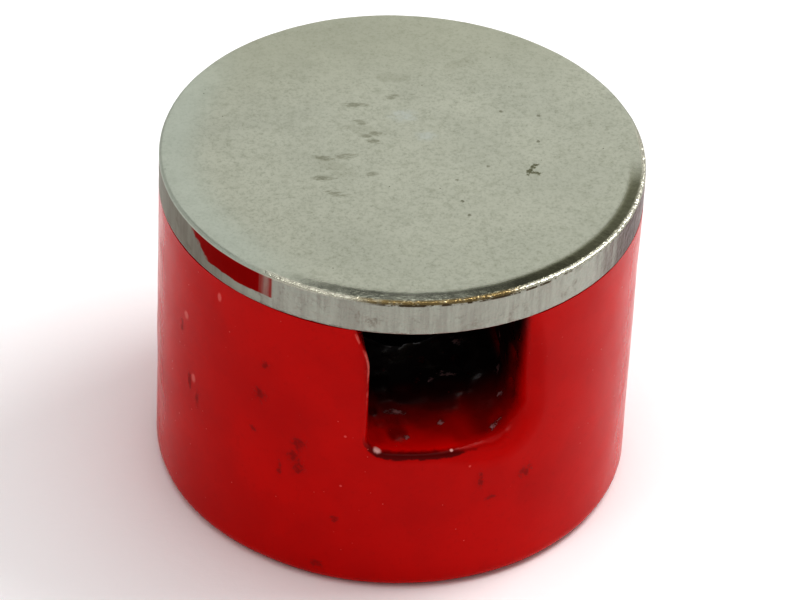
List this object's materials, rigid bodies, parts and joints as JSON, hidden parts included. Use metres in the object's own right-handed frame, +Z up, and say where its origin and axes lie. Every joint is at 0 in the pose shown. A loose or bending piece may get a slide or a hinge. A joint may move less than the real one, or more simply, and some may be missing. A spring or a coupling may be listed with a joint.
{
  "type": "button magnet",
  "caption": "Round red-enamelled button magnet, slotted across its poles for holding and light lifting, with a plated steel keeper plate that lifts off.",
  "frame": {"origin": "centre of the base that the magnet stands on", "axes": "+Z up the magnet's axis, from the base through the poles to the keeper plate; the slot runs through along Y, with one pole on -X and the other on +X"},
  "size_m": [0.019, 0.019, 0.0143],
  "materials": {
    "cast_alnico": "matte",
    "red_enamel": "gloss",
    "plated_steel": "satin"
  },
  "bodies": {
    "magnet": {"magnet_casting": "cast_alnico", "enamel_coat": "red_enamel"},
    "keeper": {"keeper_plate": "plated_steel"}
  },
  "joints": [
    {"name": "keeper_lift", "type": "slide", "parent": "magnet", "child": "keeper", "axis": [0, 0, 1], "range_m": [0, 0.02]}
  ]
}
